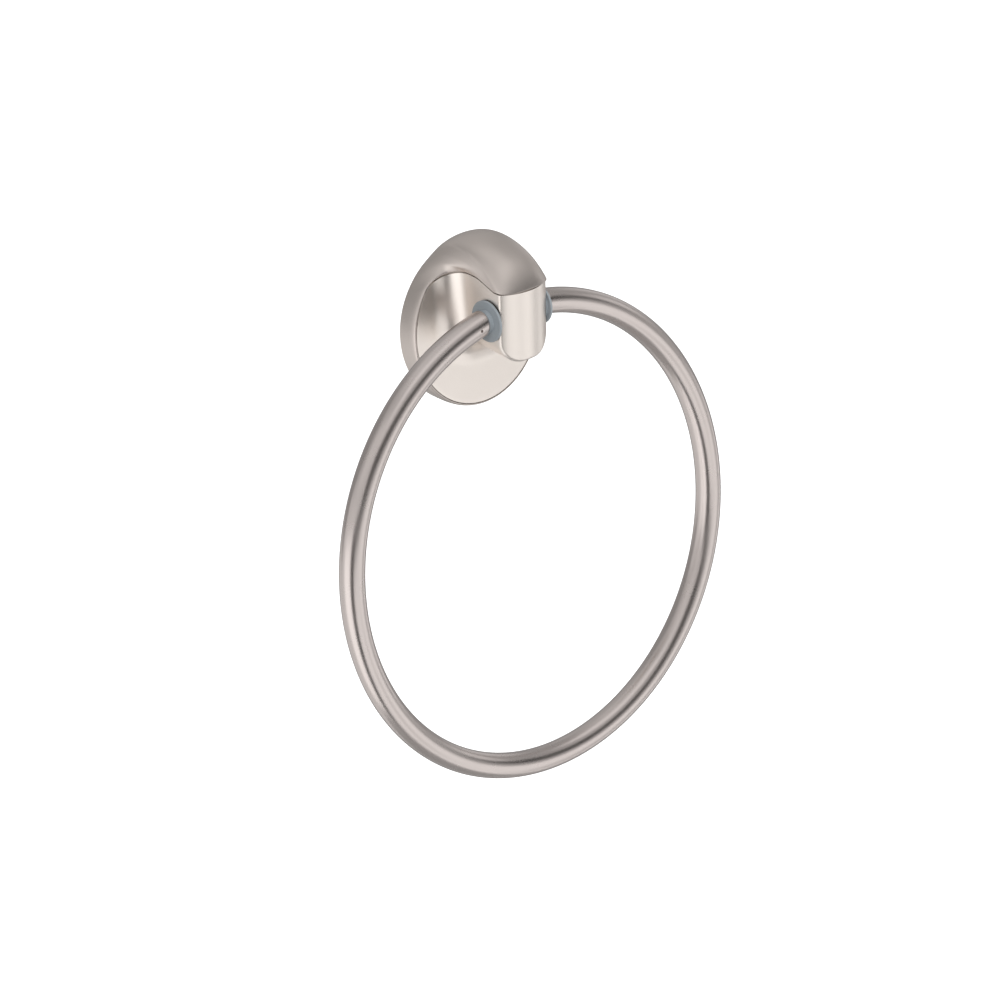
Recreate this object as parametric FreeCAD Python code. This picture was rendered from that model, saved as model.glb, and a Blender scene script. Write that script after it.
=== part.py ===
"""Towel ring with a hooded round wall base, in millimetres.

The origin is the centre of the base's flat back, on the wall. X is to the right, Y goes into
the wall and Z is up, so the front looks along -Y. "Depth" below is the distance from the wall
towards the room, which is -Y. The object is its own mirror image about the plane X = 0, apart
from one small lock hole in the ring.
"""
import FreeCAD, Part
import os
from math import atan, cos, degrees, pi, radians, sin, sqrt

# Ring: a round tube bent to an open circle, whose ends turn in the post
ring_outer_diameter = 152.4
ring_tube_diameter = 7.94
ring_tube_wall = 1.2
ring_end_gap = 0.3               # free play between an end of the tube and its bush
lock_hole_diameter = 0.9
lock_hole_inset = 3.4            # from the end of the tube

# Pivot of the ring
pivot_depth = 23.9
pivot_height = 6.8
pin_diameter = 5.0
pin_reach = 7.6                  # how far a pin goes into its bush
pin_plug_length = 7.0            # of the pin inside the tube
pin_chamfer = 0.4
running_clearance = 0.05         # radial, pin in bush

# Bushes pressed into the sides of the post. Outside the post each has a low shoulder, a thin
# flange and a hub against which the ring's end runs.
bush_shoulder_diameter = 10.6
bush_shoulder_length = 0.8
bush_flange_diameter = 13.0
bush_flange_thickness = 0.8
bush_hub_diameter = 7.2
bush_hub_length = 1.4
bush_barrel_diameter = 9.4
bush_barrel_length = 5.4
bush_edge_round = 0.3
bore_end_clearance = 0.2

# Hooded base: a round drum whose top runs forward into a hood with a beak
rim_inner_radius = 24.6
wall_proud = 0.3                 # how much wider than the rim the drum is on the wall
wall_top_bulge = 0.4
rim_depth = 7.5
skin_thickness = 1.1
beak_half_width = 9.66
beak_corner_depth = 28.37
beak_bulge = 4.94
beak_corner_height = 16.3
beak_tip_height = 15.65
hood_edge_height = 20.5          # lower edge of the hood along the root of the post
arch_overhang = 0.4              # of that edge's ellipse, seen from the front, beyond the rim
arch_centre_height = 5.8
drum_floor_depth = 3.6           # back of the floor, and depth of the pocket behind it
drum_floor_thickness = 1.0
drum_pocket_width = 5.1          # of solid back left between the pocket and the rim's radius

# How the hood's skin is bent between the wall and its lower edge. Each row has four lengths: at
# the hood's start, at the end of the cove, at the beak's corner and on top.
rim_roll = 1.25                  # how far out the rounded rim is drawn at the hood's start
belly_proud = (0.75, 2.9, 6.7, 7.9)
belly_ahead = (4.0, 3.45, 3.75, 3.85)
shoulder_out = (rim_roll, 0.8, -1.1, 0.0)
shoulder_ahead = (0.05, 0.0, -8.8, -5.65)
shoulder_up = (rim_roll, 2.65, 13.35, 16.6)
inner_belly_proud = (0.0, 1.5, 5.3, 6.5)
inner_belly_ahead = (2.2, 3.3, 4.2, 4.4)
inner_shoulder_out = (0.0, 0.4, -1.1, 0.0)
inner_shoulder_ahead = (-2.2, -0.8, -8.5, -5.55)
inner_shoulder_up = (0.0, 1.5, 12.0, 15.1)
side_falls = (0.6, 2.95)         # of the hood's edge, at a third and at three quarters of its side

# Post: a plate that fills the mouth of the drum, and the post that grows out of it
plate_face_depth = 6.9
seam = 0.12                      # gap between the post's casting and the base around it
post_half_width = 9.0
post_nose_depth = 32.1
post_nose_radius = 15.0          # of the front, seen from above
post_front_lean = 0.11           # the front is this much further out for each millimetre up
post_root_bottom = -1.3          # underside of the post, carried back to the wall
post_bottom_slope = 0.2          # the underside drops this much for each millimetre forward
post_corner_radius = 7.0
post_nose_round = 2.4
cove_land = 2.4                  # left between the cove and the rim where the hood starts

# Mounting plate, the grub screw that clamps the base to it, and the screws of the post
bracket_width = 15.0
bracket_room = 2.5               # between the plate's upper or lower edge and the pocket's wall
bracket_thickness = 3.2
bracket_undercut = 1.4           # how far the top and bottom edges slope back
bracket_hole_diameter = 4.5
bracket_hole_edge = 6.5          # from a hole's centre to the nearer edge
bracket_countersink_diameter = 8.4
bracket_edge_land = 0.8          # straight part of a screw hole, below its countersink
hook_half_width = 6.0
hook_clearance = 0.1
grub_diameter = 3.0
grub_length = 7.9
grub_depth = 1.8
grub_socket = 1.5                # across the flats
grub_socket_depth = 1.8
grub_point_diameter = 1.0
screw_diameter = 3.0
screw_head_diameter = 5.4
screw_head_height = 1.4
screw_hole_clearance = 0.1
screw_half_spacing = 10.7
screw_height = 5.0
screw_hole_cover = 1.2           # metal left between a screw hole's end and the cove's surface
screw_point_clearance = 0.4
screw_slot_width = 0.8
screw_slot_depth = 0.7

# Worked out from the sizes above
ring_radius = (ring_outer_diameter - ring_tube_diameter) / 2
flange_back = post_half_width + bush_shoulder_length
flange_face = flange_back + bush_flange_thickness
bush_face = flange_face + bush_hub_length
ring_end = bush_face + ring_end_gap
ring_centre_height = pivot_height - sqrt(ring_radius ** 2 - ring_end ** 2)
plate_back_depth = drum_floor_depth + drum_floor_thickness
reach = 60.0                     # longer than anything that a cutting tool goes through

arch_half_width = rim_inner_radius + arch_overhang
wall_radius = rim_inner_radius + wall_proud
drum_pocket_radius = rim_inner_radius - drum_pocket_width
bracket_half_height = drum_pocket_radius - bracket_room
bracket_hole_spacing = 2 * (bracket_half_height - bracket_hole_edge)

# The hood grows out of the drum between two angles about the drum's axis, counted from its side
# (0) to its top (90). The cove and the beak's corner lie at shares of the way between them.
crown = 90.0
hood_start_share = 0.4
cove_share = 0.407
beak_share = 0.741
hood_start = crown * hood_start_share
cove_end = hood_start + (crown - hood_start) * cove_share
beak_corner = hood_start + (crown - hood_start) * beak_share

cove_side = rim_inner_radius * cos(radians(hood_start)) - cove_land
cove_radius = cove_side - post_half_width
cove_depth = plate_face_depth + cove_radius
hood_cove_radius = cove_side - beak_half_width
screw_hole_side = cove_side - screw_half_spacing - screw_diameter / 2
screw_hole_end = cove_depth - sqrt(cove_radius ** 2 - screw_hole_side ** 2) - screw_hole_cover
screw_tip = screw_hole_end - screw_point_clearance


def vec(x, depth, z):
    """A point given by its place to the right, its depth in front of the wall and its height."""
    return FreeCAD.Vector(x, -depth, z)


def mirrored(shape):
    """The same shape on the other side of the plane X = 0."""
    return shape.mirror(FreeCAD.Vector(0, 0, 0), FreeCAD.Vector(1, 0, 0))


def flat_face(*edges):
    """A flat face inside a closed chain of edges."""
    return Part.Face(Part.Wire(Part.__sortEdges__(list(edges))))


def corner_face(points):
    """A flat face with straight sides."""
    return Part.Face(Part.makePolygon(points + [points[0]]))


def disc(radius, from_depth, to_depth, x=0.0, z=0.0):
    """A cylinder that stands on the wall's plane or in front of it, with its axis along Y."""
    axis = FreeCAD.Vector(0, -1, 0)
    return Part.makeCylinder(radius, to_depth - from_depth, vec(x, from_depth, z), axis)


def side_turned(profile):
    """A body turned about the pivot's axis, from (x, radius) corners."""
    points = [vec(x, pivot_depth - radius, pivot_height) for x, radius in profile]
    axis = vec(0, pivot_depth, pivot_height)
    return corner_face(points).revolve(axis, FreeCAD.Vector(1, 0, 0), 360)


def save(name, shape):
    """Checks one sub-part and writes it."""
    if len(shape.Solids) == 1:
        shape = shape.Solids[0]
    if not shape.isValid() or not shape.Solids:
        raise ValueError(name + " is not a valid solid")
    shape.exportStep("parts/" + name + ".step")
    box = shape.BoundBox
    size = "x %.2f %.2f  y %.2f %.2f  z %.2f %.2f" % (
        box.XMin, box.XMax, box.YMin, box.YMax, box.ZMin, box.ZMax)
    print("%-16s solids %d  volume %9.2f  %s" % (name, len(shape.Solids), shape.Volume, size))


def blend(place, stations, odd=False):
    """A value that runs smoothly, and without overshoot, through (place, value) stations. It is
    level at both ends, or keeps its course there if it is odd."""
    inner = stations[1:-1]
    steps = [(v1 - v0) / (p1 - p0) for (p0, v0), (p1, v1) in zip(stations, stations[1:])]
    slopes = [steps[0] if odd else 0.0]
    for before, after in zip(steps, steps[1:]):
        slopes.append(2 * before * after / (before + after) if before * after > 0 else 0.0)
    slopes.append(steps[-1] if odd else 0.0)
    place = min(max(place, stations[0][0]), stations[-1][0])
    index = sum(1 for p, v in inner if place > p)
    (p0, v0), (p1, v1) = stations[index:index + 2]
    t = (place - p0) / (p1 - p0)
    s0, s1 = slopes[index] * (p1 - p0), slopes[index + 1] * (p1 - p0)
    level = (2 * t ** 3 - 3 * t ** 2 + 1) * v0 + (3 * t ** 2 - 2 * t ** 3) * v1
    return level + (t ** 3 - 2 * t ** 2 + t) * s0 + (t ** 3 - t ** 2) * s1


# Lower edge of the hood

def arch_height(x):
    """Height of the hood's lower edge seen from the front, on a flat ellipse."""
    rise = hood_edge_height - arch_centre_height
    rise = rise / sqrt(1 - (beak_half_width / arch_half_width) ** 2)
    return arch_centre_height + rise * sqrt(1 - (x / arch_half_width) ** 2)


def side_height(depth):
    """Height of the hood's lower edge seen from the side: level at the root of the post, then
    down to the beak's corner and its tip."""
    reach_out = beak_corner_depth - cove_depth
    stations = [
        (cove_depth, hood_edge_height),
        (cove_depth + reach_out / 3, hood_edge_height - side_falls[0]),
        (cove_depth + reach_out * 3 / 4, hood_edge_height - side_falls[1]),
        (beak_corner_depth, beak_corner_height)]
    beyond = max(0.0, depth - beak_corner_depth) / beak_bulge
    return blend(depth, stations) - (beak_corner_height - beak_tip_height) * beyond


def edge_place(run):
    """Place in plan of the hood's edge and the way it faces there, a given run from the rim.
    The run is level along the drum's face, round the cove, along the side and round the beak."""
    face_depth = cove_depth - hood_cove_radius
    rim_x = rim_inner_radius * cos(radians(hood_start))
    level, cove, side, beak = edge_runs()
    if run <= level:
        share = run / level
        depth = rim_depth + (face_depth - rim_depth) * share
        return rim_x - run, depth, (0.0, 1.0)
    run -= level
    if run <= cove:
        turn = run / hood_cove_radius
        x = cove_side - hood_cove_radius * sin(turn)
        return x, cove_depth - hood_cove_radius * cos(turn), (sin(turn), cos(turn))
    run -= cove
    if run <= side:
        return beak_half_width, cove_depth + run, (1.0, 0.0)
    turn = min(1.0, (run - side) / beak) * pi / 2
    across = cos(turn) / beak_half_width
    ahead = sin(turn) / beak_bulge
    size = sqrt(across ** 2 + ahead ** 2)
    x = beak_half_width * cos(turn)
    return x, beak_corner_depth + beak_bulge * sin(turn), (across / size, ahead / size)


def edge_runs():
    """Lengths of the four stretches of the hood's edge."""
    level = rim_inner_radius * cos(radians(hood_start)) - cove_side
    cove = hood_cove_radius * pi / 2
    return [level, cove, beak_corner_depth - cove_depth, 1.2 * beak_half_width]


def edge_point(angle, inset):
    """A point of the hood's lower edge for an angle about the drum's axis, on the outer skin,
    or on the inner skin with an inset above zero."""
    level, cove, side, beak = edge_runs()
    stations = [(hood_start, 0.0), (cove_end, level + cove), (beak_corner, level + cove + side),
                (crown, level + cove + side + beak)]
    run = blend(angle, stations, odd=True)
    x, depth, (across, ahead) = edge_place(run)
    x_in, depth_in = x - inset * across, depth - inset * ahead
    height = min(arch_height(x_in), side_height(depth_in))
    if run < level:
        rim_height = rim_inner_radius * sin(radians(hood_start))
        fall = blend(run, [(0.0, 1.0), (level, 0.0)], odd=True)
        height = height - (arch_height(x + run) - rim_height) * fall ** 2
    return x_in, depth_in, height


# Skin of the base

def along_hood(angle, lengths, odd=False):
    """One of the rows of four lengths, read at an angle."""
    return blend(angle, list(zip((hood_start, cove_end, beak_corner, crown), lengths)), odd)


def skin_guides(angle, inset):
    """The four points that bend the skin at one angle: on the wall, on the belly, on the
    shoulder and on the lower edge."""
    side, up = cos(radians(angle)), sin(radians(angle))
    if inset:
        foot, proud, depth = rim_inner_radius, inner_belly_proud, inner_belly_ahead
        move = inner_shoulder_out, inner_shoulder_ahead, inner_shoulder_up
    else:
        start = sin(radians(hood_start))
        foot = wall_radius + wall_top_bulge * ((up - start) / (1 - start)) ** 2
        proud, depth = belly_proud, belly_ahead
        move = shoulder_out, shoulder_ahead, shoulder_up
    belly = rim_inner_radius + along_hood(angle, proud)
    x, ahead, z = edge_point(angle, inset)
    out = (move[0][0] * cos(radians(hood_start)),) + move[0][1:]
    lift = (move[2][0] * sin(radians(hood_start)),) + move[2][1:]
    moved = (x + along_hood(angle, out, odd=True), ahead + along_hood(angle, move[1]),
             z + along_hood(angle, lift))
    return [vec(foot * side, 0, foot * up),
            vec(belly * side, along_hood(angle, depth), belly * up),
            vec(*moved), vec(x, ahead, z)]


def guide_curves(inset):
    """Smooth curves through the guide points of the hood's right half, one for each of the four
    points, all with the same run of parameters."""
    steps = 36
    angles = [hood_start + (crown - hood_start) * k / steps for k in range(steps + 1)]
    rows = [skin_guides(angle, inset) for angle in angles]
    curves = []
    for k in range(4):
        curve = Part.BSplineCurve()
        curve.interpolate(Points=[row[k] for row in rows], Parameters=angles)
        curves.append(curve)
    return curves


def skin_face(curves):
    """A face through the first and last curve that bends along the way by those between."""
    first = curves[0]
    poles = [list(row) for row in zip(*[curve.getPoles() for curve in curves])]
    bend = len(curves) - 1
    surface = Part.BSplineSurface()
    surface.buildFromPolesMultsKnots(
        poles, first.getMultiplicities(), [bend + 1, bend + 1], first.getKnots(), [0.0, 1.0],
        False, False, first.Degree, bend)
    return surface.toShape()


def bent_edge(points):
    """The edge that a row of guide points bends."""
    curve = Part.BezierCurve()
    curve.setPoles(points)
    return curve.toShape()


def hood_faces():
    """Faces of the right half of the hood: outer skin, inner skin, lower edge and back."""
    outer = guide_curves(0.0)
    inner = guide_curves(skin_thickness)
    return [skin_face(outer), skin_face(inner), skin_face([outer[3], inner[3]]),
            skin_face([outer[0], inner[0]])]


def band_faces():
    """Faces of the part of the skin that is round, below the hood: the outline of the hood's
    first section, turned about the drum's axis."""
    outer = skin_guides(hood_start, 0.0)
    inner = skin_guides(hood_start, skin_thickness)
    outline = [bent_edge(outer), bent_edge(inner), Part.makeLine(outer[3], inner[3]),
               Part.makeLine(inner[0], outer[0])]
    centre = FreeCAD.Vector(0, 0, 0)
    turn = 180 + 2 * hood_start
    return [edge.revolve(centre, FreeCAD.Vector(0, 1, 0), turn) for edge in outline]


def base_skin():
    """The skin of the drum and its hood, closed all round."""
    right = hood_faces()
    faces = [face for shape in right + band_faces() for face in shape.Faces]
    faces += [mirrored(face) for face in right]
    shell = Part.makeShell(faces)
    shell.sewShape()
    solid = Part.makeSolid(shell)
    return solid if solid.Volume > 0 else solid.reversed()


def hook():
    """Ledge at the top of the drum's pocket that catches the mounting plate's upper edge."""
    low = bracket_half_height + hook_clearance
    slope = bracket_undercut / bracket_thickness
    top = drum_pocket_radius + 0.5
    front = drum_floor_depth + 0.2
    back_height = low - slope * bracket_thickness
    points = [vec(-hook_half_width, 0.3, back_height + 0.3 * slope),
              vec(-hook_half_width, 0.3, top),
              vec(-hook_half_width, front, top),
              vec(-hook_half_width, front, low + slope * (front - bracket_thickness))]
    return corner_face(points).extrude(FreeCAD.Vector(2 * hook_half_width, 0, 0))


def cover():
    """Hooded base: skin, floor with the pocket behind it, hook and screw holes."""
    back = disc((wall_radius + rim_inner_radius) / 2, 0, plate_back_depth)
    pocket = disc(drum_pocket_radius, 0, drum_floor_depth)
    shape = base_skin().fuse(back.cut(pocket)).fuse(hook())
    for side in (-1, 1):
        hole = screw_diameter / 2 + screw_hole_clearance
        x = side * screw_half_spacing
        shape = shape.cut(disc(hole, 0, plate_back_depth, x, screw_height))
    grub_hole = Part.makeCylinder(grub_diameter / 2, reach, vec(0, grub_depth, -reach))
    return shape.cut(grub_hole)


# Post

def post_prism():
    """Plain post: flat sides and a rounded underside, sloping down to the front, and a plate
    behind it, joined to it by the cove."""
    side = post_half_width
    radius = post_corner_radius
    bottom = post_root_bottom - post_bottom_slope * plate_back_depth
    start = plate_back_depth
    diagonal = radius * sqrt(0.5)
    lines = []
    for sign in (-1, 1):
        lines.append(Part.makeLine(vec(sign * side, start, reach),
                                   vec(sign * side, start, bottom + radius)))
        lines.append(Part.Arc(
            vec(sign * side, start, bottom + radius),
            vec(sign * (side - radius + diagonal), start, bottom + radius - diagonal),
            vec(sign * (side - radius), start, bottom)).toShape())
    lines.append(Part.makeLine(vec(radius - side, start, bottom),
                               vec(side - radius, start, bottom)))
    lines.append(Part.makeLine(vec(-side, start, reach), vec(side, start, reach)))
    forward = FreeCAD.Vector(0, -reach, -reach * post_bottom_slope)
    post = flat_face(*lines).extrude(forward)
    plate = Part.makeBox(reach, plate_face_depth - plate_back_depth, 2 * reach,
                         vec(-reach / 2, plate_face_depth, -reach))
    joined = post.fuse(plate).removeSplitter()
    root = [edge for edge in joined.Edges if on_plate_face(edge)]
    return joined.makeFillet(cove_radius, root)


def on_plate_face(edge):
    """Whether an edge is one along which the plain post leaves the plate's face."""
    box = edge.BoundBox
    flat = abs(box.YMin + plate_face_depth) < 0.01 and abs(box.YMax + plate_face_depth) < 0.01
    narrow = max(-box.XMin, box.XMax) < post_half_width + 0.1
    return flat and narrow and box.ZMin < reach / 2


def rounded_nose(post):
    """Cuts the front of the post to its curve in plan, leaning forward, and rounds the edge of
    that face."""
    centre = post_nose_depth - post_nose_radius
    bar = Part.makeCylinder(post_nose_radius, 4 * reach, vec(0, centre, -2 * reach))
    behind = Part.makeBox(2 * reach, reach + centre, 4 * reach, vec(-reach, centre, -2 * reach))
    lean = degrees(atan(post_front_lean))
    turned = bar.fuse(behind).rotated(nose_middle(), FreeCAD.Vector(1, 0, 0), lean)
    post = post.common(turned)
    rim = [edge for edge in post.Edges if on_nose(edge)]
    return post.makeFillet(post_nose_round, rim)


def nose_middle():
    """Middle of the post's front, level with the pivot."""
    return vec(0, post_nose_depth, pivot_height)


def on_nose(edge):
    """Whether an edge runs round the post's front face, below and beside it."""
    upright = FreeCAD.Rotation(FreeCAD.Vector(1, 0, 0), -degrees(atan(post_front_lean)))
    point = edge.valueAt((edge.FirstParameter + edge.LastParameter) / 2)
    middle = upright.multVec(point - nose_middle()) + nose_middle()
    centre = post_nose_depth - post_nose_radius
    away = sqrt(middle.x ** 2 + (middle.y + centre) ** 2)
    return abs(away - post_nose_radius) < 0.01 and middle.y < -centre and middle.z < reach / 2


def under_hood():
    """Everything below the hood's lower edge, less the seam."""
    count = 24
    arch = Part.BSplineCurve()
    width = arch_half_width - 0.5
    places = [width * cos(pi * k / count) for k in range(count + 1)]
    arch.interpolate([vec(x, 0, arch_height(x) - seam) for x in places])
    left, right = vec(-width, 0, -reach), vec(width, 0, -reach)
    front = flat_face(arch.toShape(), Part.makeLine(arch.EndPoint, left),
                      Part.makeLine(left, right), Part.makeLine(right, arch.StartPoint))
    front = front.extrude(FreeCAD.Vector(0, -reach, 0))
    fall = Part.BSplineCurve()
    depths = [cove_depth + (post_nose_depth + 1 - cove_depth) * k / count for k in range(count + 1)]
    fall.interpolate([vec(-reach / 2, depth, side_height(depth) - seam) for depth in depths])
    back = vec(-reach / 2, 0, hood_edge_height - seam)
    low = [vec(-reach / 2, depths[-1], -reach), vec(-reach / 2, 0, -reach)]
    side = flat_face(fall.toShape(), Part.makeLine(fall.EndPoint, low[0]),
                     Part.makeLine(low[0], low[1]), Part.makeLine(low[1], back),
                     Part.makeLine(back, fall.StartPoint))
    return front.common(side.extrude(FreeCAD.Vector(reach, 0, 0)))


def post_body():
    """Post with its plate, the bores of its bushes and the threads of its screws."""
    room = disc(rim_inner_radius - seam, plate_back_depth, reach)
    shape = rounded_nose(post_prism()).common(under_hood()).common(room)
    depth = bush_barrel_length + bore_end_clearance
    for side in (-1, 1):
        start = vec(side * post_half_width, pivot_depth, pivot_height)
        inward = FreeCAD.Vector(-side, 0, 0)
        shape = shape.cut(Part.makeCylinder(bush_barrel_diameter / 2, depth, start, inward))
        shape = shape.cut(disc(screw_diameter / 2, plate_back_depth, screw_hole_end,
                               side * screw_half_spacing, screw_height))
    return shape


# Moving ring and its pivots

def ring_torus(radius):
    """A closed ring of round section on the ring's centre line."""
    centre = vec(0, pivot_depth, ring_centre_height)
    return Part.makeTorus(ring_radius, radius, centre, FreeCAD.Vector(0, 1, 0))


def gap_box(half_width):
    """The space between the ring's ends, out to a distance from the middle on either side."""
    corner = vec(-half_width, pivot_depth + reach / 2, ring_centre_height)
    return Part.makeBox(2 * half_width, reach, 2 * ring_radius, corner)


def ring():
    """Open ring of tube, with the hole that locks the left pin's plug."""
    bore = ring_tube_diameter / 2 - ring_tube_wall
    shape = ring_torus(ring_tube_diameter / 2).cut(ring_torus(bore)).cut(gap_box(ring_end))
    x = -ring_end - lock_hole_inset
    z = ring_centre_height + sqrt(ring_radius ** 2 - x ** 2)
    return shape.cut(disc(lock_hole_diameter / 2, pivot_depth + bore * 0.8, reach, x, z))


def right_pin():
    """Pivot pin: a plug in the ring's end, and a journal that reaches into the bush."""
    bore = ring_tube_diameter / 2 - ring_tube_wall
    plug = ring_torus(bore).common(gap_box(ring_end + pin_plug_length)).cut(gap_box(ring_end))
    plug = [solid for solid in plug.Solids if solid.CenterOfMass.x > 0][0]
    radius = pin_diameter / 2
    tip = bush_face - pin_reach
    journal = side_turned([
        (tip, 0), (tip, radius - pin_chamfer), (tip + pin_chamfer, radius),
        (ring_end + 0.5, radius), (ring_end + 0.5, 0)])
    return plug.fuse(journal)


def right_bush():
    """Flanged bush between the post's side and the ring's end."""
    bore = pin_diameter / 2 + running_clearance
    barrel = bush_barrel_diameter / 2
    shoulder = bush_shoulder_diameter / 2
    flange = bush_flange_diameter / 2
    hub = bush_hub_diameter / 2
    tip = post_half_width - bush_barrel_length
    small = bush_edge_round
    shape = side_turned([
        (tip, bore), (tip, barrel - small), (tip + small, barrel), (post_half_width, barrel),
        (post_half_width, shoulder), (flange_back, shoulder), (flange_back, flange),
        (flange_face, flange), (flange_face, hub), (bush_face, hub), (bush_face, bore)])
    rim = [edge for edge in shape.Edges if abs(edge.BoundBox.ZMax - pivot_height - flange) < 0.01
           and abs(edge.BoundBox.XMin - flange_face) < 0.01]
    return shape.makeFillet(small, rim)


# What holds the base to the wall

def mounting_plate():
    """Plate screwed to the wall, its upper and lower edges sloping back."""
    half = bracket_width / 2
    front = bracket_half_height
    back = bracket_half_height - bracket_undercut
    shape = corner_face([vec(-half, 0, -back), vec(-half, 0, back),
                         vec(-half, bracket_thickness, front),
                         vec(-half, bracket_thickness, -front)])
    shape = shape.extrude(FreeCAD.Vector(bracket_width, 0, 0))
    small = bracket_hole_diameter / 2
    large = bracket_countersink_diameter / 2
    for z in (-bracket_hole_spacing / 2, bracket_hole_spacing / 2):
        shape = shape.cut(disc(small, 0, bracket_thickness, 0, z))
        sink = Part.makeCone(small, large, bracket_thickness - bracket_edge_land,
                             vec(0, bracket_edge_land, z), FreeCAD.Vector(0, -1, 0))
        shape = shape.cut(sink)
    return shape


def set_screw():
    """Grub screw that goes up through the drum's band and bears on the plate's lower edge."""
    slope = bracket_undercut / bracket_thickness
    radius = grub_diameter / 2
    point = grub_point_diameter / 2
    tip = -(bracket_half_height - bracket_undercut + slope * (grub_depth + point))
    cone = radius - point
    up = FreeCAD.Vector(0, 0, 1)
    shank = Part.makeCylinder(radius, grub_length - cone, vec(0, grub_depth, tip - grub_length), up)
    nose = Part.makeCone(radius, point, cone, vec(0, grub_depth, tip - cone), up)
    corner = grub_socket / sqrt(3)
    corners = [vec(corner * cos(k * pi / 3), grub_depth + corner * sin(k * pi / 3),
                   tip - grub_length) for k in range(6)]
    socket = corner_face(corners).extrude(FreeCAD.Vector(0, 0, grub_socket_depth))
    return shank.fuse(nose).cut(socket)


def cover_screws():
    """The two screws that hold the post's casting against the drum's floor."""
    screws = []
    for side in (-1, 1):
        x = side * screw_half_spacing
        shank = disc(screw_diameter / 2, drum_floor_depth, screw_tip, x, screw_height)
        back = drum_floor_depth - screw_head_height
        head = disc(screw_head_diameter / 2, back, drum_floor_depth, x, screw_height)
        slot = Part.makeBox(screw_head_diameter + 1, screw_slot_depth, screw_slot_width, vec(
            x - screw_head_diameter / 2 - 0.5, back + screw_slot_depth,
            screw_height - screw_slot_width / 2))
        screws.append(shank.fuse(head).cut(slot))
    return Part.makeCompound(screws)


os.makedirs("parts", exist_ok=True)
save("cover", cover())
save("post_body", post_body())
save("right_bush", right_bush())
save("left_bush", mirrored(right_bush()))
save("ring", ring())
save("right_pin", right_pin())
save("left_pin", mirrored(right_pin()))
save("mounting_plate", mounting_plate())
save("set_screw", set_screw())
save("cover_screws", cover_screws())
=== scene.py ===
"""Towel ring: the smooth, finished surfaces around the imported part, and the studio it stands in.

X is to the right, -Y is the front, Z is up, and the wall is the plane Y = 0. In the shape
functions a depth is the distance in front of the wall, which is -Y.
"""
import bpy
import bmesh
import math
import numpy as np
from bpy.props import FloatProperty, FloatVectorProperty, PointerProperty
from mathutils import Matrix, Vector
from mathutils.bvhtree import BVHTree
from mathutils.interpolate import poly_3d_calc


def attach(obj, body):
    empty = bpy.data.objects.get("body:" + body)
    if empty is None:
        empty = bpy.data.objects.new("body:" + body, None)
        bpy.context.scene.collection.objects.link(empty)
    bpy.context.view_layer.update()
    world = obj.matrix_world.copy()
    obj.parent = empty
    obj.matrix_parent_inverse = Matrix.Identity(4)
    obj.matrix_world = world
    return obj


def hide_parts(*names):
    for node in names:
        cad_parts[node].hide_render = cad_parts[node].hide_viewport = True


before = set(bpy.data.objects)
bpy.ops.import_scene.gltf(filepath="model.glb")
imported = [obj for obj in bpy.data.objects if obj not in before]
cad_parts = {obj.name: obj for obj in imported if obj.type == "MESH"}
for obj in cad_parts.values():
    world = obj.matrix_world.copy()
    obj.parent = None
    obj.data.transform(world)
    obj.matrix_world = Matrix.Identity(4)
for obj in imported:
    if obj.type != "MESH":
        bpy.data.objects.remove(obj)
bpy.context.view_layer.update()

bl_info = {
    "name": "Towel ring",
    "version": (1, 0, 0),
    "blender": (4, 5, 0),
    "location": "3D View > Sidebar > Towel ring",
    "description": "Builds the finished surfaces of a wall-mounted towel ring and its studio",
    "category": "Object",
}

MM = 0.001
SHARP_ANGLE = 32.0  # degrees between two faces above which their edge stays crisp
ROUND_POINTS = 97  # points round a tube or a turned part, the last one on the first


def linear(hex_colour):
    """Turns an sRGB colour written as six hex digits into linear red, green, blue and alpha."""
    parts = [int(hex_colour[k:k + 2], 16) / 255 for k in (0, 2, 4)]
    return [p / 12.92 if p <= 0.04045 else ((p + 0.055) / 1.055) ** 2.4 for p in parts] + [1.0]


# Settings

def length(name, description, default):
    """A length in metres that the sidebar shows."""
    return FloatProperty(name=name, description=description, default=default, min=0.0,
                         precision=5, unit="LENGTH", subtype="DISTANCE")


def colour(name, description, hex_colour):
    """A linear colour that the sidebar shows as sRGB."""
    return FloatVectorProperty(name=name, description=description, subtype="COLOR", size=4,
                               min=0.0, max=1.0, default=linear(hex_colour))


class TowelRingSizes(bpy.types.PropertyGroup):
    ring_diameter: length("Ring diameter", "Outside diameter of the ring", 152.4 * MM)
    tube_diameter: length("Tube diameter", "Outside diameter of the ring's tube", 7.94 * MM)
    tube_wall: length("Tube wall", "Thickness of the tube's wall", 1.2 * MM)
    end_gap: length("End gap", "Free play between a tube end and its bush", 0.3 * MM)
    pivot_depth: length("Pivot depth", "Distance of the pivot from the wall", 23.9 * MM)
    pivot_height: length("Pivot height", "Height of the pivot over the drum's axis", 6.8 * MM)
    post_half_width: length("Post half width", "Half the width of the post", 9.0 * MM)
    shoulder_length: length("Bush shoulder", "Length of a bush's low shoulder", 0.8 * MM)
    flange_thickness: length("Bush flange", "Thickness of a bush's flange", 0.8 * MM)
    flange_diameter: length("Bush diameter", "Diameter of a bush's flange", 13.0 * MM)
    hub_length: length("Bush hub", "Length of the hub between flange and ring", 1.4 * MM)
    rim_radius: length("Rim radius", "Inner radius of the drum's rim", 24.6 * MM)
    skin: length("Skin", "Thickness of the hood's skin", 1.1 * MM)
    seam: length("Seam", "Gap between the post's casting and the hood", 0.12 * MM)


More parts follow.
